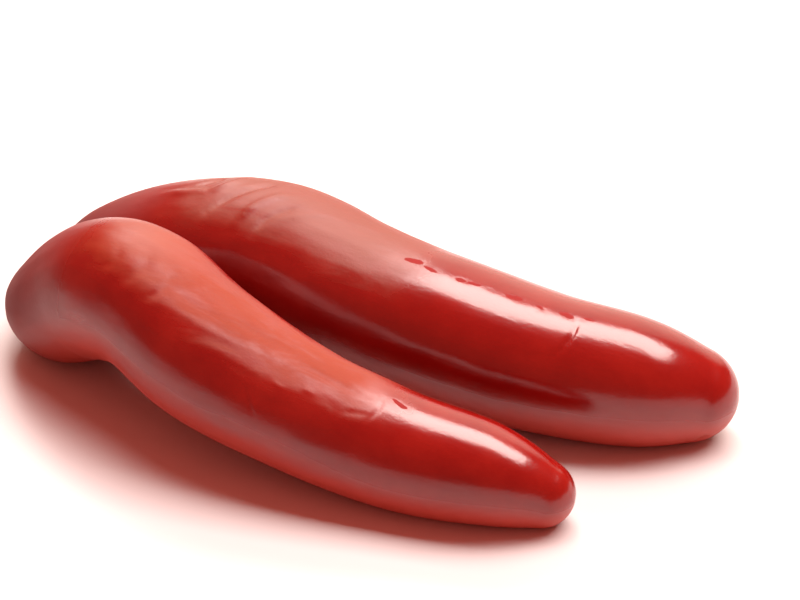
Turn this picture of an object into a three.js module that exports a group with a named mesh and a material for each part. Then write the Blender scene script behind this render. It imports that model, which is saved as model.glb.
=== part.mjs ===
// A string of two sausage links joined by a twist of their casing.
// Sizes are in millimetres, Z is up and the string rests on Z = 0.
import * as THREE from "three";

// Driving dimensions
// A link's stations run from its free tip to the twist, each [x, y, lift off the table, radius].
const frontStations = [
  [58.4, -17.3, 0, 7.2],
  [46.7, -20.9, 0, 10.8],
  [27.6, -23.9, 0, 12.3],
  [4.7, -24.9, 2.5, 13.9],
  [-17.8, -22.8, 6.1, 15.2],
  [-36.5, -16.6, 9.9, 15.5],
  [-51.4, -12.1, 6.6, 15.3],
  [-65.4, -9.3, 0, 12.0],
  [-76.2, -1.7, 3.4, 4.6],
];
const backStations = [
  [71.2, 27.9, 0, 10.4],
  [59.8, 21.3, 0, 13.9],
  [41.1, 17.1, 0, 15.3],
  [18.3, 16.1, 0, 16.6],
  [-5.6, 17.4, 0, 17.8],
  [-27.3, 20.6, 0.1, 18.3],
  [-46.9, 20.3, 0, 16.4],
  [-65.3, 16.0, 0, 12.1],
  [-77.0, 12.1, 3.4, 4.6],
];
// A resting link sinks a little, so its centre line is at this share of its radius.
const settledHeight = 0.95;
const ringsPerLink = 60;
const capRings = 6;
const sidesPerRing = 32;

// Relief on the casing
const swellDepth = 0.25;
const pleatCount = 9;
const pleatDepth = 0.09;
const pleatLength = 13;

// Twisted neck of casing between the links
const neckGap = 0.4;
const neckEndRadius = 2.3;
const neckMiddleRadius = 1.8;
const neckBow = 4;
const neckLobes = 3;
const neckLobeDepth = 0.1;
const neckTurns = 0.6;
const neckRings = 26;
const neckSides = 24;

const worldUp = new THREE.Vector3(0, 0, 1);

// Catmull-Rom value of every column of a station list, at u from 0 to 1
function stationAt(stations, u) {
  const last = stations.length - 1;
  const scaled = THREE.MathUtils.clamp(u, 0, 1) * last;
  const index = Math.min(Math.floor(scaled), last - 1);
  const t = scaled - index;
  return stations[0].map((_, column) => {
    const b = stations[index][column];
    const c = stations[index + 1][column];
    const a = index > 0 ? stations[index - 1][column] : 2 * b - c;
    const d = index + 2 <= last ? stations[index + 2][column] : 2 * c - b;
    const linear = (c - a) * t;
    const square = (2 * a - 5 * b + 4 * c - d) * t * t;
    const cube = (3 * b - a - 3 * c + d) * t * t * t;
    return 0.5 * (2 * b + linear + square + cube);
  });
}

// Centre, radius, direction and taper of a link at u
function axisAt(stations, u) {
  const step = 0.001;
  const point = (at) => {
    const [x, y, lift, radius] = stationAt(stations, at);
    return { centre: new THREE.Vector3(x, y, lift + settledHeight * radius), radius };
  };
  const from = Math.max(u - step, 0);
  const to = Math.min(u + step, 1);
  const before = point(from);
  const after = point(to);
  const here = point(u);
  const travel = after.centre.clone().sub(before.centre);
  const length = travel.length();
  const taper = THREE.MathUtils.clamp((after.radius - before.radius) / length, -0.9, 0.9);
  return { ...here, direction: travel.normalize(), taper };
}

// A ring on the ball of the given centre and radius, at an angle of tilt ahead of its middle
function ringOnBall(axis, tilt) {
  const side = new THREE.Vector3().crossVectors(worldUp, axis.direction).normalize();
  const lift = new THREE.Vector3().crossVectors(axis.direction, side).normalize();
  const centre = axis.centre.clone().addScaledVector(axis.direction, axis.radius * Math.sin(tilt));
  return { centre, side, lift, radius: axis.radius * Math.cos(tilt), arc: 0 };
}

// All rings of a link, from the pole of its free tip to the pole at the twist
function linkRings(stations) {
  const rings = [];
  const start = axisAt(stations, 0);
  const end = axisAt(stations, 1);
  const startTilt = Math.asin(-start.taper);
  const endTilt = Math.asin(-end.taper);
  for (let i = 1; i < capRings; i += 1) {
    const share = i / capRings;
    rings.push(ringOnBall(start, THREE.MathUtils.lerp(-Math.PI / 2, startTilt, share)));
  }
  for (let i = 0; i <= ringsPerLink; i += 1) {
    const axis = axisAt(stations, i / ringsPerLink);
    rings.push(ringOnBall(axis, Math.asin(-axis.taper)));
  }
  for (let i = 1; i < capRings; i += 1) {
    const share = i / capRings;
    rings.push(ringOnBall(end, THREE.MathUtils.lerp(endTilt, Math.PI / 2, share)));
  }
  rings.forEach((ring, i) => {
    ring.arc = i === 0 ? 0 : rings[i - 1].arc + ring.centre.distanceTo(rings[i - 1].centre);
  });
  const poles = [
    start.centre.clone().addScaledVector(start.direction, -start.radius),
    end.centre.clone().addScaledVector(end.direction, end.radius),
  ];
  return { rings, poles, endDirection: end.direction };
}

// Uneven swelling along the link, and pleats that gather the casing towards the twist
function relief(ring, angle, totalArc, phase) {
  const swell = Math.sin(ring.arc * 0.11 + phase) * Math.cos(angle * 2 + phase + ring.arc * 0.03);
  const fromTwist = totalArc - ring.arc;
  const gather = THREE.MathUtils.smoothstep(pleatLength - fromTwist, 0, pleatLength);
  const pleat = 0.5 - 0.5 * Math.cos(angle * pleatCount + phase);
  const fullness = Math.min(ring.radius / 10, 1);
  return ring.radius - swellDepth * swell * fullness - ring.radius * pleatDepth * pleat * gather;
}

// A closed mesh from rings of points and two end points
function closedSkin(ringPoints, firstPole, lastPole) {
  const sides = ringPoints[0].length;
  const points = [firstPole, ...ringPoints.flat(), lastPole];
  const faces = [];
  const at = (ring, side) => 1 + ring * sides + (side % sides);
  for (let s = 0; s < sides; s += 1) {
    faces.push(0, at(0, s + 1), at(0, s));
    faces.push(points.length - 1, at(ringPoints.length - 1, s), at(ringPoints.length - 1, s + 1));
  }
  for (let r = 0; r + 1 < ringPoints.length; r += 1) {
    for (let s = 0; s < sides; s += 1) {
      faces.push(at(r, s), at(r, s + 1), at(r + 1, s + 1));
      faces.push(at(r, s), at(r + 1, s + 1), at(r + 1, s));
    }
  }
  const geometry = new THREE.BufferGeometry();
  const flat = points.flatMap((p) => [p.x, p.y, p.z]);
  geometry.setAttribute("position", new THREE.Float32BufferAttribute(flat, 3));
  geometry.setIndex(faces);
  geometry.computeVertexNormals();
  return geometry;
}

// One link, flattened where it rests on the table
function linkShape(stations, phase) {
  const { rings, poles, endDirection } = linkRings(stations);
  const totalArc = rings[rings.length - 1].arc;
  const ringPoints = rings.map((ring) => {
    const points = [];
    for (let s = 0; s < sidesPerRing; s += 1) {
      const angle = (2 * Math.PI * s) / sidesPerRing;
      const radius = relief(ring, angle, totalArc, phase);
      const point = ring.centre.clone();
      point.addScaledVector(ring.side, radius * Math.cos(angle));
      point.addScaledVector(ring.lift, radius * Math.sin(angle));
      point.z = Math.max(point.z, 0);
      points.push(point);
    }
    return points;
  });
  return { geometry: closedSkin(ringPoints, poles[0], poles[1]), apex: poles[1], endDirection };
}

// The rope-like neck from one link's apex to the other's
function neckShape(front, back) {
  const start = front.apex.clone().addScaledVector(front.endDirection, neckGap);
  const end = back.apex.clone().addScaledVector(back.endDirection, neckGap);
  const leave = start.clone().addScaledVector(front.endDirection, neckBow);
  const arrive = end.clone().addScaledVector(back.endDirection, neckBow);
  const path = new THREE.CubicBezierCurve3(start, leave, arrive, end);
  const ringPoints = [];
  for (let r = 0; r <= neckRings; r += 1) {
    const share = r / neckRings;
    const centre = path.getPoint(share);
    const direction = path.getTangent(share);
    const side = new THREE.Vector3().crossVectors(worldUp, direction).normalize();
    const lift = new THREE.Vector3().crossVectors(direction, side).normalize();
    const flare = Math.pow(Math.abs(2 * share - 1), 3);
    const mean = THREE.MathUtils.lerp(neckMiddleRadius, neckEndRadius, flare);
    const points = [];
    for (let s = 0; s < neckSides; s += 1) {
      const angle = (2 * Math.PI * s) / neckSides;
      const turned = angle * neckLobes + share * neckTurns * neckLobes * 2 * Math.PI;
      const radius = mean * (1 + neckLobeDepth * Math.cos(turned));
      const point = centre.clone();
      point.addScaledVector(side, radius * Math.cos(angle));
      point.addScaledVector(lift, radius * Math.sin(angle));
      points.push(point);
    }
    ringPoints.push(points);
  }
  return closedSkin(ringPoints, start, end);
}

function addPiece(group, name, geometry, colour, roughness) {
  const material = new THREE.MeshStandardMaterial({ color: colour, roughness, metalness: 0 });
  material.name = name;
  const mesh = new THREE.Mesh(geometry, material);
  mesh.name = name;
  group.add(mesh);
}

const front = linkShape(frontStations, 0.6);
const back = linkShape(backStations, 2.4);
const group = new THREE.Group();
addPiece(group, "link_front", front.geometry, 0x9e2a1c, 0.28);
addPiece(group, "link_back", back.geometry, 0x9a261a, 0.28);
addPiece(group, "casing_twist", neckShape(front, back), 0x86291d, 0.4);

// The origin is under the middle of the string's own box
const box = new THREE.Box3().setFromObject(group);
const middle = box.getCenter(new THREE.Vector3());
group.children.forEach((mesh) => mesh.geometry.translate(-middle.x, -middle.y, 0));

export default group;
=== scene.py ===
"""Looks for the string of sausage links: two glossy smoked links joined by a twist of casing."""

import math

import bpy
import numpy as np
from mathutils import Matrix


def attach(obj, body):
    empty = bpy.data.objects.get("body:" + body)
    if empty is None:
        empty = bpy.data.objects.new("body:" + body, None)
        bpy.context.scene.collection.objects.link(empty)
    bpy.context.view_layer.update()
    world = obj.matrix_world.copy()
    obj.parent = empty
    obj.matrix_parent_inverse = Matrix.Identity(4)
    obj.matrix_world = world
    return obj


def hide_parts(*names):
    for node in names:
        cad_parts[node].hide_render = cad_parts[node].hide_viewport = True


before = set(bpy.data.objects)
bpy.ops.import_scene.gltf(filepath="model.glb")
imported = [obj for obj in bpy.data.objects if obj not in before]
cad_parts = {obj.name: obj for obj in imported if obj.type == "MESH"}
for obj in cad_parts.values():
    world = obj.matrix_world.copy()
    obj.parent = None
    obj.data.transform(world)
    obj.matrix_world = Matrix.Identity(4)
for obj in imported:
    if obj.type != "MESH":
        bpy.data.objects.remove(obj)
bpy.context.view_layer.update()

MM = 0.001

# Shape of the links: [x, y, lift off the table, radius] in millimetres, from the free tip to the twist
FRONT_STATIONS = [
    [58.4, -17.3, 0, 7.2],
    [46.7, -20.9, 0, 10.8],
    [27.6, -23.9, 0, 12.3],
    [4.7, -24.9, 2.5, 13.9],
    [-17.8, -22.8, 6.1, 15.2],
    [-36.5, -16.6, 9.9, 15.5],
    [-51.4, -12.1, 6.6, 15.3],
    [-65.4, -9.3, 0, 12.0],
    [-76.2, -1.7, 3.4, 4.6],
]
BACK_STATIONS = [
    [71.2, 27.9, 0, 10.4],
    [59.8, 21.3, 0, 13.9],
    [41.1, 17.1, 0, 15.3],
    [18.3, 16.1, 0, 16.6],
    [-5.6, 17.4, 0, 17.8],
    [-27.3, 20.6, 0.1, 18.3],
    [-46.9, 20.3, 0, 16.4],
    [-65.3, 16.0, 0, 12.1],
    [-77.0, 12.1, 3.4, 4.6],
]
# A link sinks a little into the table and is flat there, so its centre is less than a radius up
SETTLED_HEIGHT = 0.95
# The solids are centred on their own box, so the stations move by this much
BOX_SHIFT = (1.935, 0.171)

# Slow swelling of the skin, and pleats gathered at the twisted end, as in the solids
SWELL_DEPTH = 0.25
SWELL_PER_MM = 0.11
SWELL_TURN_PER_MM = 0.03
PLEAT_COUNT = 9
PLEAT_DEPTH = 0.09
PLEAT_LENGTH = 13
FRONT_PHASE = 0.6
BACK_PHASE = 2.4
FRONT_SEED = 11
BACK_SEED = 29

# Mesh of a link: rings along the body and over each round end, and points in a ring
BODY_RINGS = 400
CAP_RINGS = 22
SIDES = 168

# Finer pleats between the gathered ones: depth as a share of the radius, number, wander and length
FOLD_DEPTH = 0.035
FOLDS_PER_PLEAT = 1.5
FOLD_WANDER = 3
FOLD_LENGTH = 4

# Relief of the casing: size and height of the lumps and wrinkles in millimetres
LUMP_SIZE = 11
LUMP_HEIGHT = 0.14
SMALL_LUMP_SIZE = 5
SMALL_LUMP_HEIGHT = 0.035
CRINKLE_LENGTH = 9
CRINKLE_WIDTH = 1.6
TAUT_CRINKLE_HEIGHT = 0.010
SLACK_CRINKLE_HEIGHT = 0.022
WRINKLE_LENGTH = 7
WRINKLE_WIDTH = 2.6
WRINKLE_SLANT = 0.6
WRINKLE_HEIGHT = 0.075
# The relief fades out over these lengths at the free tip and at the gathered end
TIP_FADE = 6
END_FADE = 4
# A link this thick or thicker has the full relief
FULL_RELIEF_RADIUS = 10
# The lowest skin in the scene, a hair above the table
LOWEST_SKIN = 0.05

# The casing is taut from the free tip to here, and slack beyond it, with a ragged change between
FRONT_TAUT_LENGTH = 42
BACK_TAUT_LENGTH = 76
SLACK_STARTS = -7
SLACK_IS_FULL = 9
SLACK_RAGGEDNESS = 5
SLACK_PATCH_SIZE = 6

# Creases (height below zero) and folds: start, middle and end as [mm from the free tip, degrees round],
# then width and height. Zero degrees is the camera's side of the link, and 90 is its top.
FRONT_MARKS = [
    ([43.5, 84], [41.5, 72], [43.5, 54], 0.55, -0.15),
    ([43.0, 60], [46.5, 58], [49.0, 52], 0.45, -0.10),
    ([38.6, 88], [39.6, 85], [40.8, 86], 0.70, -0.05),
    ([69.5, 36], [67.2, 30], [65.2, 19], 0.35, -0.12),
    ([68.2, 34], [66.3, 28], [64.3, 19], 0.40, 0.10),
    ([64.4, 51], [62.8, 48], [61.4, 49], 0.40, 0.12),
    ([58.6, 58], [57.0, 56], [55.6, 57], 0.45, 0.12),
    ([104.0, 84], [99.5, 66], [103.5, 44], 1.5, -0.30),
    ([98.0, 84], [93.0, 68], [97.0, 48], 1.1, -0.20),
    ([108.0, 70], [105.0, 60], [108.5, 46], 1.0, -0.16),
    ([96.0, 74], [88.0, 70], [80.0, 75], 0.9, -0.12),
    ([90.0, 62], [82.0, 60], [73.0, 64], 0.9, 0.12),
    ([80.0, 84], [70.0, 80], [60.0, 85], 1.0, -0.12),
    ([72.0, 70], [64.0, 72], [57.0, 68], 0.8, 0.10),
    ([62.0, 78], [55.0, 74], [47.5, 76], 0.8, -0.12),
]
BACK_MARKS = [
    ([35.5, 75], [34.6, 62], [38.5, 35], 0.50, -0.28),
    ([38.0, 42], [40.5, 38], [43.0, 35], 0.45, -0.05),
    ([75.0, 82], [72.6, 81], [70.8, 84], 0.90, -0.06),
    ([69.4, 81], [67.9, 79], [66.4, 80], 0.60, -0.04),
    ([64.0, 81], [61.5, 82], [59.4, 80], 0.80, -0.06),
    ([56.6, 83], [55.2, 81], [53.9, 82], 0.55, -0.03),
    ([52.0, 83], [49.4, 81], [46.6, 82], 0.80, -0.06),
    ([45.2, 78], [43.4, 79], [41.8, 77], 0.75, -0.05),
    ([39.8, 79], [37.6, 77], [34.2, 79], 0.70, -0.05),
    ([121.5, 112], [120.5, 92], [126.0, 78], 1.5, 0.70),
    ([125.5, 82], [130.5, 78], [136.0, 84], 1.2, 0.45),
    ([126.5, 112], [126.0, 96], [131.0, 90], 1.3, -0.55),
    ([113.0, 106], [117.5, 86], [123.0, 60], 1.2, -0.75),
    ([107.0, 94], [112.5, 80], [114.5, 54], 1.2, 0.62),
    ([103.5, 84], [108.0, 74], [109.5, 50], 1.1, -0.48),
    ([97.0, 90], [101.5, 80], [104.0, 70], 1.0, 0.16),
    ([8.0, 318], [6.5, 326], [6.5, 336], 1.1, -0.45),
]

# Points along a crease or fold, the share of its height left at its ends, and how much of each half rises
MARK_POINTS = 17
MARK_END_HEIGHT = 0.25
MARK_RISE = 0.6

# Neck of casing between the links: its bow and radius in millimetres, and the rope that it is wound into
NECK_GAP = 0.4
NECK_BOW = 4
NECK_END_RADIUS = 2.3
NECK_MIDDLE_RADIUS = 1.75
NECK_STRANDS = 3
NECK_TURNS = 2.2
NECK_RINGS = 90
NECK_SIDES = 60
# The rope's strands and the fibres on them: depths as shares of its radius, and fibres in a strand
STRAND_DEPTH = 0.24
MEAN_STRAND = 0.62
COARSE_FIBRE = 0.03
COARSE_FIBRES = 5
COARSE_FIBRE_PHASE = 1.3
FINE_FIBRE = 0.02
FINE_FIBRES = 8
# The neck's ends go on by this much, over the gap and into the links, in so many rings
NECK_ROOT = 1.5
NECK_ROOT_START = 0.15
NECK_ROOT_RINGS = 8

# Dull spots: mm from the free tip, degrees round, half width in mm
FRONT_SPOTS = [(39.6, 86, 0.7)]
BACK_SPOTS = [
    (73.6, 82, 0.95),
    (69.4, 80, 0.6),
    (62.4, 82, 0.8),
    (58.9, 81, 0.6),
    (50.4, 81, 0.85),
    (43.8, 79, 0.55),
    (38.2, 80, 0.8),
    (33.6, 79, 0.5),
]
# The spots are drawn out along the links, and their places and outlines waver, in metres
SPOT_STRETCH = (0.36, 1, 1)
SPOT_WAVER = 0.003
# A spot's outline fades between these shares of its half width
SPOT_FADE = (1.25, 0.55)

# Colour and gloss of each piece. The top colour is a dry bloom of the slack casing with a painted sheen tint.
# The dullness is the roughness of the dry top, far from the free tips and near them. Slack casing's gloss
# gives way to taut casing's from taut_x on, in metres along the links, so the twist is slack all over.
FRONT_LOOK = {
    "deep": (0.195, 0.0007, 0.0004),
    "warm": (0.245, 0.006, 0.003),
    "dry_sheen": (0.255, 0.036, 0.008),
    "far_dullness": 0.34,
    "near_dullness": 0.90,
    "taut_x": 0.024,
}
BACK_LOOK = {
    "deep": (0.185, 0.0007, 0.0004),
    "warm": (0.225, 0.004, 0.002),
    "dry_sheen": (0.19, 0.038, 0.017),
    "far_dullness": 0.50,
    "near_dullness": 0.62,
    "taut_x": 0.012,
}
TWIST_LOOK = {
    "deep": (0.18, 0.008, 0.004),
    "warm": (0.24, 0.020, 0.010),
    "dry_sheen": (0.24, 0.040, 0.018),
    "far_dullness": 0.55,
    "near_dullness": 0.55,
    "taut_x": 1.0,
}
SPOT_RED = (0.22, 0.003, 0.002)
# Paler red painted on the downward-facing skin as light reflected from the floor
FLOOR_LIGHT_RED = (0.46, 0.048, 0.028)
# Dark red painted as shade at the gathered far ends
PAINTED_END_SHADE = (0.10, 0.008, 0.005)
TAUT_ROUGHNESS = 0.19
SLACK_ROUGHNESS = 0.25
LOW_ROUGHNESS = 0.5
END_ROUGHNESS = 0.75
SPOT_ROUGHNESS = 0.95

# Where the looks change along the links, in metres from the middle towards the free tips
# The far ends are darkened with painted shade over this span
END_SHADE_SPAN = (-0.078, -0.040)
END_GLOSS_SPAN = (-0.066, -0.050)
DRY_SHEEN_SPAN = (-0.050, -0.026)
DULLNESS_SPAN = (-0.048, -0.018)
TAUT_SPAN_LENGTH = 0.019
SPAN_RAGGEDNESS = 0.016
# Where the looks change round the links, as the upward part of the skin's normal
# Over this span the top is dry and tinted with a painted sheen
DRY_SHEEN_TOP_SPAN = (0.85, 1.22)
DRY_SHEEN_TOP_RAGGEDNESS = 0.40
DULL_SIDE_SPAN = (0.10, -0.45)
# Over this span the downward-facing skin is painted paler with floor light
FLOOR_LIGHT_SIDE_SPAN = (0.15, -0.50)
# How far each cover of colour hides what is under it: the painted sheen tint on top, the painted floor light
# low down and the painted shade at the far ends
DRY_SHEEN_COVER = 0.85
FLOOR_LIGHT_COVER = 0.8
END_SHADE_COVER = 0.75


# Shape tools

def station_values(stations, u):
    """Catmull-Rom values of every column, at each u from 0 to 1."""
    table = np.array(stations, dtype=float)
    padded = np.vstack([2 * table[0] - table[1], table, 2 * table[-1] - table[-2]])
    scaled = np.clip(u, 0, 1) * (len(table) - 1)
    index = np.minimum(scaled.astype(int), len(table) - 2)
    t = (scaled - index)[:, None]
    a, b, c, d = (padded[index + k] for k in range(4))
    linear = (c - a) * t
    square = (2 * a - 5 * b + 4 * c - d) * t * t
    cube = (3 * b - a - 3 * c + d) * t ** 3
    return 0.5 * (2 * b + linear + square + cube)


def axis_points(stations, u):
    """Centres and radii of the link at each u."""
    values = station_values(stations, u)
    height = values[:, 2] + SETTLED_HEIGHT * values[:, 3]
    centres = np.column_stack([values[:, 0] + BOX_SHIFT[0], values[:, 1] + BOX_SHIFT[1], height])
    return centres, values[:, 3]


def unit(vectors):
    """The same directions with a length of one."""
    return vectors / np.linalg.norm(vectors, axis=-1, keepdims=True)


def walked_length(points):
    """Distance walked along a line of points, up to each point."""
    steps = np.linalg.norm(np.diff(points, axis=0), axis=1)
    return np.concatenate([[0], np.cumsum(steps)])


def link_axis(stations, u):
    """Centre, radius, direction and taper of the link at each u."""
    step = 0.001
    before, radius_before = axis_points(stations, np.maximum(u - step, 0))
    after, radius_after = axis_points(stations, np.minimum(u + step, 1))
    centres, radii = axis_points(stations, u)
    travel = after - before
    length = np.linalg.norm(travel, axis=1)
    taper = np.clip((radius_after - radius_before) / length, -0.9, 0.9)
    return centres, radii, unit(travel), taper


def even_steps(stations, count):
    """Values of u that part the centre line into equal lengths."""
    fine = np.linspace(0, 1, 3000)
    centres, _ = axis_points(stations, fine)
    walked = walked_length(centres)
    return np.interp(np.linspace(0, walked[-1], count), walked, fine)


def link_rings(stations):
    """Ring centres, radii, side and lift directions, arc lengths, and the two poles of a link."""
    u = even_steps(stations, BODY_RINGS)
    centres, radii, directions, taper = link_axis(stations, u)
    tilt = np.arcsin(-taper)
    head = np.linspace(-math.pi / 2, tilt[0], CAP_RINGS + 1)[1:-1]
    tail = np.linspace(tilt[-1], math.pi / 2, CAP_RINGS + 1)[1:-1]
    tilts = np.concatenate([head, tilt, tail])

    def stretched(values):
        first = np.repeat(values[:1], len(head), axis=0)
        last = np.repeat(values[-1:], len(tail), axis=0)
        return np.concatenate([first, values, last])

    balls, reach, along = stretched(centres), stretched(radii), stretched(directions)
    ring_centres = balls + along * (reach * np.sin(tilts))[:, None]
    ring_radii = reach * np.cos(tilts)
    side = unit(np.cross([0, 0, 1], along))
    lift = unit(np.cross(along, side))
    arc = walked_length(ring_centres)
    poles = (centres[0] - directions[0] * radii[0], centres[-1] + directions[-1] * radii[-1])
    return ring_centres, ring_radii, side, lift, along, arc, poles


def outward(side, lift, angle):
    """Directions out of each ring at each angle round it."""
    return side[:, None] * np.cos(angle)[..., None] + lift[:, None] * np.sin(angle)[..., None]


def lattice_noise(points, seed):
    """Smooth repeatable noise from -1 to 1 at each point, one cell per unit, scattered by large primes."""
    cell = np.floor(points).astype(np.int64)
    part = points - cell
    ease = part * part * (3 - 2 * part)
    total = np.zeros(points.shape[:-1])
    for dx in (0, 1):
        for dy in (0, 1):
            for dz in (0, 1):
                mixed = (cell[..., 0] + dx) * 73856093 ^ (cell[..., 1] + dy) * 19349663
                mixed = mixed ^ (cell[..., 2] + dz) * 83492791 ^ seed * 2654435761
                mixed = (mixed ^ (mixed >> 13)) * 1274126177
                value = ((mixed ^ (mixed >> 16)) & 0xFFFF) / 32767.5 - 1
                weight = np.where(dx, ease[..., 0], 1 - ease[..., 0])
                weight = weight * np.where(dy, ease[..., 1], 1 - ease[..., 1])
                weight = weight * np.where(dz, ease[..., 2], 1 - ease[..., 2])
                total += value * weight
    return total


def smooth(low, high, value):
    """Eased rise from 0 at the low value to 1 at the high one."""
    t = np.clip((value - low) / (high - low), 0, 1)
    return t * t * (3 - 2 * t)


def close_mesh(name, grid, first_pole, last_pole):
    """A closed mesh from a grid of rings and two end points, in metres."""
    rings, sides = grid.shape[:2]
    points = np.vstack([first_pole[None], grid.reshape(-1, 3), last_pole[None]]) * MM
    ring, side = np.meshgrid(np.arange(rings - 1), np.arange(sides), indexing="ij")
    following = (side + 1) % sides
    faces = np.stack([
        1 + ring * sides + side,
        1 + ring * sides + following,
        1 + (ring + 1) * sides + following,
        1 + (ring + 1) * sides + side,
    ], axis=-1).reshape(-1, 4).tolist()
    last_ring = 1 + (rings - 1) * sides
    for s in range(sides):
        after = (s + 1) % sides
        faces.append([0, 1 + after, 1 + s])
        faces.append([len(points) - 1, last_ring + s, last_ring + after])
    mesh = bpy.data.meshes.new(name)
    mesh.from_pydata(points.tolist(), [], faces)
    mesh.polygons.foreach_set("use_smooth", [True] * len(mesh.polygons))
    mesh.update()
    piece = bpy.data.objects.new(name, mesh)
    bpy.context.scene.collection.objects.link(piece)
    return piece


# Links

def pleated_radius(s, a, radius, length, phase, seed):
    """Radius of the skin with its slow swelling, and the pleats of the gathered end."""
    fullness = np.minimum(radius / FULL_RELIEF_RADIUS, 1)
    swell = np.sin(s * SWELL_PER_MM + phase) * np.cos(a * 2 + phase + s * SWELL_TURN_PER_MM)
    gather = smooth(0, PLEAT_LENGTH, PLEAT_LENGTH - (length - s))
    pleat = 0.5 - 0.5 * np.cos(a * PLEAT_COUNT + phase)
    wander = FOLD_WANDER * lattice_noise(np.stack([s / FOLD_LENGTH, a, 0 * a], axis=-1), seed)
    fold = 1 - np.abs(np.cos(a * PLEAT_COUNT * FOLDS_PER_PLEAT + wander))
    gathered = radius * gather * (PLEAT_DEPTH * pleat + FOLD_DEPTH * fold)
    return radius - SWELL_DEPTH * swell * fullness - gathered


def casing_relief(base, s, a, radius, length, taut_length, seed):
    """Height of the uneven filling, of fine crinkles, and of wrinkles where the casing is slack."""
    across = np.cos(a) * radius
    up = np.sin(a) * radius
    lumps = lattice_noise(base / LUMP_SIZE, seed) * LUMP_HEIGHT
    lumps = lumps + lattice_noise(base / SMALL_LUMP_SIZE, seed + 1) * SMALL_LUMP_HEIGHT
    ragged = s + SLACK_RAGGEDNESS * lattice_noise(base / SLACK_PATCH_SIZE, seed + 5)
    slack = smooth(taut_length + SLACK_STARTS, taut_length + SLACK_IS_FULL, ragged)
    fine = np.stack([s / CRINKLE_LENGTH, across / CRINKLE_WIDTH, up / CRINKLE_WIDTH], axis=-1)
    slanted = (s + WRINKLE_SLANT * up) / WRINKLE_LENGTH
    coarse = np.stack([slanted, across / WRINKLE_WIDTH, up / WRINKLE_WIDTH], axis=-1)
    crinkle = lattice_noise(fine, seed + 2) * (TAUT_CRINKLE_HEIGHT + SLACK_CRINKLE_HEIGHT * slack)
    wrinkle = lattice_noise(coarse, seed + 3) * WRINKLE_HEIGHT * slack
    body = smooth(0, TIP_FADE, s) * smooth(0, END_FADE, length - s)
    return (lumps + crinkle + wrinkle) * body * np.minimum(radius / FULL_RELIEF_RADIUS, 1)


def stroke(s, a, radius, mark):
    """Height of one crease or fold: a bent line on the skin with a given width and height."""
    start, middle, end, width, height = mark
    share = np.linspace(0, 1, MARK_POINTS)
    controls = np.array([start, middle, end], dtype=float)
    weights = np.stack([(1 - share) ** 2, 2 * share * (1 - share), share ** 2])
    line = weights.T @ controls
    nearest = np.full(s.shape, 1e9)
    along = np.zeros(s.shape)
    for part, (at, degrees) in zip(share, line):
        away_round = (a - math.radians(degrees) + math.pi) % (2 * math.pi) - math.pi
        gap = np.hypot(s - at, away_round * radius)
        along = np.where(gap < nearest, part, along)
        nearest = np.minimum(nearest, gap)
    fade = np.minimum(along, 1 - along) * 2
    strength = MARK_END_HEIGHT + (1 - MARK_END_HEIGHT) * smooth(0, MARK_RISE, fade)
    return height * strength * np.exp(-(nearest / width) ** 2)


def link_surface(stations, phase, seed, taut_length, marks):
    """Grid of points on a link's skin with its relief, its poles, directions and arc lengths."""
    centres, radii, side, lift, along, arc, poles = link_rings(stations)
    angle = np.linspace(0, 2 * math.pi, SIDES, endpoint=False)
    s, a = np.meshgrid(arc, angle, indexing="ij")
    radius = radii[:, None]
    out = outward(side, lift, a)
    skin = pleated_radius(s, a, radius, arc[-1], phase, seed)
    base = centres[:, None] + out * skin[..., None]
    height = casing_relief(base, s, a, radius, arc[-1], taut_length, seed)
    for mark in marks:
        height = height + stroke(s, a, radius, mark)
    grid = base + out * height[..., None]
    grid[..., 2] = np.maximum(grid[..., 2], LOWEST_SKIN)
    return grid, poles, along, arc


front_grid, front_poles, front_along, front_arc = link_surface(
    FRONT_STATIONS, FRONT_PHASE, FRONT_SEED, FRONT_TAUT_LENGTH, FRONT_MARKS)
back_grid, back_poles, back_along, back_arc = link_surface(
    BACK_STATIONS, BACK_PHASE, BACK_SEED, BACK_TAUT_LENGTH, BACK_MARKS)
link_front = close_mesh("front_link_skin", front_grid, *front_poles)
link_back = close_mesh("back_link_skin", back_grid, *back_poles)


# Twisted neck of casing between the links, rooted in both of their ends

def neck_path(start_pole, start_way, end_pole, end_way):
    """Bowed line from inside the first link's end to inside the other's."""
    start = start_pole + start_way * NECK_GAP
    start_bow = start + start_way * NECK_BOW
    end = end_pole + end_way * NECK_GAP
    end_bow = end + end_way * NECK_BOW
    t = np.linspace(0, 1, NECK_RINGS)[:, None]
    bow = (1 - t) ** 3 * start + 3 * t * (1 - t) ** 2 * start_bow
    bow = bow + 3 * t * t * (1 - t) * end_bow + t ** 3 * end
    root = np.linspace(NECK_ROOT_START, NECK_ROOT, NECK_ROOT_RINGS)[:, None]
    return np.vstack([start - start_way * root[::-1], bow, end - end_way * root])


def twist_surface(path):
    """Grid of points on the rope of casing along a path."""
    way = unit(np.gradient(path, axis=0))
    side = unit(np.cross([0, 0, 1], way))
    lift = unit(np.cross(way, side))
    walked = walked_length(path)
    share = (walked / walked[-1])[:, None]
    a = np.linspace(0, 2 * math.pi, NECK_SIDES, endpoint=False)[None, :]
    mean = NECK_MIDDLE_RADIUS + (NECK_END_RADIUS - NECK_MIDDLE_RADIUS) * np.abs(2 * share - 1) ** 3
    wound = a * NECK_STRANDS + share * NECK_TURNS * NECK_STRANDS * 2 * math.pi
    strand = np.abs(np.cos(wound / 2)) - MEAN_STRAND
    fibre = COARSE_FIBRE * np.cos(wound * COARSE_FIBRES + COARSE_FIBRE_PHASE)
    fibre = fibre + FINE_FIBRE * np.cos(wound * FINE_FIBRES)
    radius = mean * (1 + STRAND_DEPTH * strand + fibre)
    return path[:, None] + outward(side, lift, a) * radius[..., None]


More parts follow.
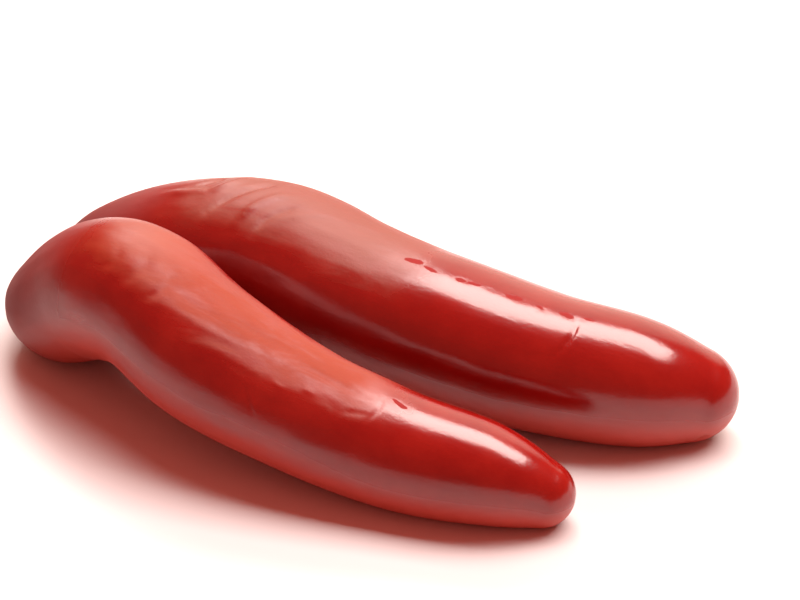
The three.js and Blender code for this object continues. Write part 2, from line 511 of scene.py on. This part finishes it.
twist_path = neck_path(front_poles[1], front_along[-1], back_poles[1], back_along[-1])
twist = close_mesh("twist_skin", twist_surface(twist_path), twist_path[0], twist_path[-1])


# Material tools, in which a value is a plain number or colour, or the output of another node

def plug(tree, socket, value):
    """Link another node's output to a socket, or set the socket to a plain value."""
    if isinstance(value, bpy.types.NodeSocket):
        tree.links.new(value, socket)
    else:
        socket.default_value = value


def node(tree, kind, **settings):
    made = tree.nodes.new(kind)
    for key, value in settings.items():
        setattr(made, key, value)
    return made


def maths(tree, operation, *values):
    made = node(tree, "ShaderNodeMath", operation=operation)
    for socket, value in zip(made.inputs, values):
        plug(tree, socket, value)
    return made.outputs["Value"]


def vector_maths(tree, operation, result, *values):
    made = node(tree, "ShaderNodeVectorMath", operation=operation)
    for socket, value in zip(made.inputs, values):
        plug(tree, socket, value)
    return made.outputs[result]


def ramp(tree, value, span, results=(0, 1), ease="SMOOTHSTEP"):
    """Change from one result to the other while the value crosses the span."""
    made = node(tree, "ShaderNodeMapRange", interpolation_type=ease)
    sockets = ("Value", "From Min", "From Max", "To Min", "To Max")
    for socket, setting in zip(sockets, (value, *span, *results)):
        plug(tree, made.inputs[socket], setting)
    return made.outputs["Result"]


def blend(tree, factor, first, second, kind="RGBA"):
    """Mix two colours, or two numbers where the kind is FLOAT."""
    made = node(tree, "ShaderNodeMix", data_type=kind)
    plug(tree, made.inputs["Factor"], factor)
    plug(tree, made.inputs["A"], first)
    plug(tree, made.inputs["B"], second)
    return made.outputs["Result"]


def mottle(tree, place, scale, detail, roughness=0.5, distortion=0):
    """Cloudy noise, as a number in its Fac output and as three numbers in its Color output."""
    made = node(tree, "ShaderNodeTexNoise")
    sockets = ("Vector", "Scale", "Detail", "Roughness", "Distortion")
    for socket, setting in zip(sockets, (place, scale, detail, roughness, distortion)):
        plug(tree, made.inputs[socket], setting)
    return made.outputs


def streaked(tree, place, stretch, degrees=0):
    """The same place drawn out along the links, turned round the vertical."""
    made = node(tree, "ShaderNodeMapping")
    plug(tree, made.inputs["Vector"], place)
    plug(tree, made.inputs["Rotation"], (0, 0, math.radians(degrees)))
    plug(tree, made.inputs["Scale"], (stretch, 1, 1))
    return made.outputs["Vector"]


def grain(tree, height, strength, distance, under=None):
    """Bump from a height, over the bump of another grain where one is given."""
    made = node(tree, "ShaderNodeBump")
    plug(tree, made.inputs["Strength"], strength)
    plug(tree, made.inputs["Distance"], distance)
    plug(tree, made.inputs["Height"], height)
    if under is not None:
        plug(tree, made.inputs["Normal"], under)
    return made.outputs["Normal"]


# Materials

def skin_point(grid, arc, at, degrees):
    """The point of a link's skin at a distance from the free tip and an angle round, in metres."""
    ring = int(np.argmin(np.abs(arc - at)))
    side = int(round(degrees / 360 * SIDES)) % SIDES
    return grid[ring, side] * MM


def spot_cover(tree, place, drift, spots):
    """How far the dull spots cover the skin, from 0 to 1, with each spot as a centre and a half width."""
    waver = vector_maths(tree, "MULTIPLY_ADD", "Vector", drift["Color"], (SPOT_WAVER,) * 3, place)
    drawn_out = vector_maths(tree, "MULTIPLY", "Vector", waver, SPOT_STRETCH)
    cover = 0
    for centre, half_width in spots:
        middle = (centre + SPOT_WAVER / 2) * np.array(SPOT_STRETCH)
        gap = vector_maths(tree, "DISTANCE", "Value", drawn_out, tuple(middle))
        span = [half_width * share for share in SPOT_FADE]
        cover = maths(tree, "MAXIMUM", cover, ramp(tree, gap, span))
    return cover


def casing_material(name, look, spots):
    """Moist smoked casing: mottled red, glossy where it is taut, dry and duller on top where it is slack,
    with painted light in the colour: a sheen tint on the dry top, floor light low down and shade at the
    gathered end.
    """
    material = bpy.data.materials.new(name)
    material.use_nodes = True
    tree = material.node_tree
    shader = tree.nodes["Principled BSDF"]
    place = node(tree, "ShaderNodeTexCoord").outputs["Object"]
    normal = node(tree, "ShaderNodeNewGeometry").outputs["Normal"]
    axes = node(tree, "ShaderNodeSeparateXYZ")
    plug(tree, axes.inputs["Vector"], place)
    along = axes.outputs["X"]
    facing = node(tree, "ShaderNodeSeparateXYZ")
    plug(tree, facing.inputs["Vector"], normal)
    upward = facing.outputs["Z"]

    # Where the casing is taut, where its top is dry and tinted with a painted sheen, and where the spots are
    drift = mottle(tree, place, scale=130, detail=3)
    ragged_along = maths(tree, "MULTIPLY_ADD", drift["Fac"], SPAN_RAGGEDNESS, along)
    taut = ramp(tree, ragged_along, (look["taut_x"], look["taut_x"] + TAUT_SPAN_LENGTH))
    brushed = streaked(tree, place, stretch=0.22, degrees=-12)
    brush = mottle(tree, brushed, scale=260, detail=4, roughness=0.62, distortion=0.6)
    ragged_upward = maths(tree, "MULTIPLY_ADD", brush["Fac"], DRY_SHEEN_TOP_RAGGEDNESS, upward)
    upper = ramp(tree, ragged_upward, DRY_SHEEN_TOP_SPAN)
    covered = ramp(tree, ragged_along, DRY_SHEEN_SPAN)
    dry_sheen_top = maths(tree, "MULTIPLY", upper, covered)
    spotted = spot_cover(tree, place, drift, spots)

    # Colour: mottled red, a dry bloom with a painted sheen tint on top, paler with painted floor light low
    # down, darker with painted shade at the gathered end, red in the spots
    blotches = mottle(tree, place, scale=70, detail=5, roughness=0.6)
    tone = ramp(tree, blotches["Fac"], (0.38, 0.68), ease="LINEAR")
    colour = blend(tree, tone, (*look["deep"], 1), (*look["warm"], 1))
    # The dry bloom on the slack top carries a painted sheen tint
    bloom_and_sheen = maths(tree, "MULTIPLY", dry_sheen_top, maths(tree, "SUBTRACT", 1, taut))
    colour = blend(tree, maths(tree, "MULTIPLY", bloom_and_sheen, DRY_SHEEN_COVER), colour, (*look["dry_sheen"], 1))
    # Painted floor light: the downward-facing skin is paler
    painted_floor_light = ramp(tree, upward, FLOOR_LIGHT_SIDE_SPAN, (0, FLOOR_LIGHT_COVER))
    colour = blend(tree, painted_floor_light, colour, (*FLOOR_LIGHT_RED, 1))
    # Painted shade: darker towards the gathered end
    end_shade = ramp(tree, along, END_SHADE_SPAN, (END_SHADE_COVER, 0))
    colour = blend(tree, end_shade, colour, (*PAINTED_END_SHADE, 1))
    colour = blend(tree, spotted, colour, (*SPOT_RED, 1))
    plug(tree, shader.inputs["Base Color"], colour)

    # Roughness: clear near the free tip, uneven on the dry top, dull low down, at the end and in the spots
    slack_gloss = ramp(tree, along, END_GLOSS_SPAN, (END_ROUGHNESS, SLACK_ROUGHNESS), "LINEAR")
    dullness = ramp(tree, along, DULLNESS_SPAN, (look["far_dullness"], look["near_dullness"]), "LINEAR")
    roughness = ramp(tree, dry_sheen_top, (0, 1), (slack_gloss, dullness), "LINEAR")
    roughness = blend(tree, taut, roughness, TAUT_ROUGHNESS, "FLOAT")
    turned_down = ramp(tree, upward, DULL_SIDE_SPAN)
    roughness = blend(tree, turned_down, roughness, LOW_ROUGHNESS, "FLOAT")
    in_spot = maths(tree, "GREATER_THAN", spotted, 0.5)
    roughness = blend(tree, in_spot, roughness, SPOT_ROUGHNESS, "FLOAT")
    plug(tree, shader.inputs["Roughness"], roughness)

    # Fine grain: pores, and faint streaks along the casing
    pores = mottle(tree, place, scale=1500, detail=2)
    streaks = mottle(tree, streaked(tree, place, stretch=0.25), scale=420, detail=3)
    porous = grain(tree, pores["Fac"], strength=0.10, distance=0.0002)
    grained = grain(tree, streaks["Fac"], strength=0.20, distance=0.0003, under=porous)
    plug(tree, shader.inputs["Normal"], grained)

    shader.inputs["Specular IOR Level"].default_value = 0.75
    shader.inputs["Subsurface Weight"].default_value = 0.12
    shader.inputs["Subsurface Radius"].default_value = (1.0, 0.25, 0.12)
    shader.inputs["Subsurface Scale"].default_value = 0.002
    return material


def spots_on(grid, arc, spots):
    """Centres and half widths of a link's dull spots, in metres."""
    return [(skin_point(grid, arc, at, degrees), half_width * MM) for at, degrees, half_width in spots]


front_casing = casing_material("front_casing", FRONT_LOOK, spots_on(front_grid, front_arc, FRONT_SPOTS))
back_casing = casing_material("back_casing", BACK_LOOK, spots_on(back_grid, back_arc, BACK_SPOTS))
twist_casing = casing_material("twist_casing", TWIST_LOOK, [])
link_front.data.materials.append(front_casing)
link_back.data.materials.append(back_casing)
twist.data.materials.append(twist_casing)

for piece, name in ((link_front, "link_front"), (link_back, "link_back"), (twist, "casing_twist")):
    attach(piece, "root")
    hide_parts(name)

# Floor

FLOOR_HALF = 3.0
floor_mesh = bpy.data.meshes.new("floor")
corners = [(-FLOOR_HALF, -FLOOR_HALF, 0), (FLOOR_HALF, -FLOOR_HALF, 0)]
corners += [(FLOOR_HALF, FLOOR_HALF, 0), (-FLOOR_HALF, FLOOR_HALF, 0)]
floor_mesh.from_pydata(corners, [], [(0, 1, 2, 3)])
floor = bpy.data.objects.new("floor", floor_mesh)
bpy.context.scene.collection.objects.link(floor)
floor_finish = bpy.data.materials.new("floor_finish")
floor_finish.use_nodes = True
floor_shader = floor_finish.node_tree.nodes["Principled BSDF"]
floor_shader.inputs["Base Color"].default_value = (0.60, 0.62, 0.63, 1)
floor_shader.inputs["Roughness"].default_value = 0.35
floor_mesh.materials.append(floor_finish)

# Camera: 31 degrees above the table, turned 29 degrees round from the links' length

CAMERA_AZIMUTH = math.radians(29)
CAMERA_ELEVATION = math.radians(31)
CAMERA_DISTANCE = 0.7
CAMERA_TARGET = np.array([0.005195, 0.022811, 0.016])
WIDTH_SEEN_AT_TARGET = 0.176
SENSOR_WIDTH = 36

away = np.array([-math.sin(CAMERA_AZIMUTH), math.cos(CAMERA_AZIMUTH), 0])
rightward = np.array([math.cos(CAMERA_AZIMUTH), math.sin(CAMERA_AZIMUTH), 0])
upright = np.array([0, 0, 1])
looking = away * math.cos(CAMERA_ELEVATION) - upright * math.sin(CAMERA_ELEVATION)
camera_data = bpy.data.cameras.new("camera")
camera_data.sensor_width = SENSOR_WIDTH
camera_data.lens = SENSOR_WIDTH * CAMERA_DISTANCE / WIDTH_SEEN_AT_TARGET
camera = bpy.data.objects.new("camera", camera_data)
camera.location = CAMERA_TARGET - looking * CAMERA_DISTANCE
camera.rotation_euler = (math.pi / 2 - CAMERA_ELEVATION, 0, CAMERA_AZIMUTH)
bpy.context.scene.collection.objects.link(camera)
bpy.context.scene.camera = camera

# Light

WARM_WHITE = (1.0, 0.90, 0.84)


def softbox(name, right, back, height, size, power, turn=0):
    """A level rectangular light above the table, turned clockwise by some degrees as seen from above.

    It hangs to the right of the middle and behind it, as the camera sees them.
    """
    data = bpy.data.lights.new(name, "AREA")
    data.shape = "RECTANGLE"
    data.size, data.size_y = size
    data.energy = power
    data.color = WARM_WHITE
    light = bpy.data.objects.new(name, data)
    light.location = rightward * right + away * back + upright * height
    light.rotation_euler = (0, 0, CAMERA_AZIMUTH - math.radians(turn))
    bpy.context.scene.collection.objects.link(light)


softbox("key", right=0.27, back=0.12, height=0.62, size=(0.76, 0.38), power=11.4, turn=18)
softbox("lamp", right=-0.12, back=0.55, height=0.52, size=(0.26, 0.22), power=3.2)

# A room with a bright cream panel low behind the links, a little to the right, and red walls elsewhere

PANEL_ELEVATION = math.radians(22)
PANEL_TURN = math.radians(15)
PANEL_CREAM = (1.0, 0.84, 0.68, 1)
WALL_RED = (1.0, 0.17, 0.12, 1)
PANEL_STRENGTH = 1.75
WALL_STRENGTH = 0.72
# Cosines of the angles from the panel's middle at which the walls' strength and colour change
STRENGTH_SPAN = (0.83, 0.97)
COLOUR_SPAN = (0.83, 0.90)

level_way = away * math.cos(PANEL_TURN) + rightward * math.sin(PANEL_TURN)
panel_way = level_way * math.cos(PANEL_ELEVATION) + upright * math.sin(PANEL_ELEVATION)
world = bpy.data.worlds.new("studio")
bpy.context.scene.world = world
world.use_nodes = True
sky = world.node_tree
background = sky.nodes["Background"]
compass = node(sky, "ShaderNodeTexCoord").outputs["Generated"]
towards_panel = vector_maths(sky, "DOT_PRODUCT", "Value", compass, tuple(panel_way))
strength = ramp(sky, towards_panel, STRENGTH_SPAN, (WALL_STRENGTH, PANEL_STRENGTH))
creaminess = ramp(sky, towards_panel, COLOUR_SPAN, ease="LINEAR")
plug(sky, background.inputs["Strength"], strength)
plug(sky, background.inputs["Color"], blend(sky, creaminess, WALL_RED, PANEL_CREAM))

scene = bpy.context.scene
scene.view_settings.view_transform = "Standard"
scene.view_settings.look = "None"
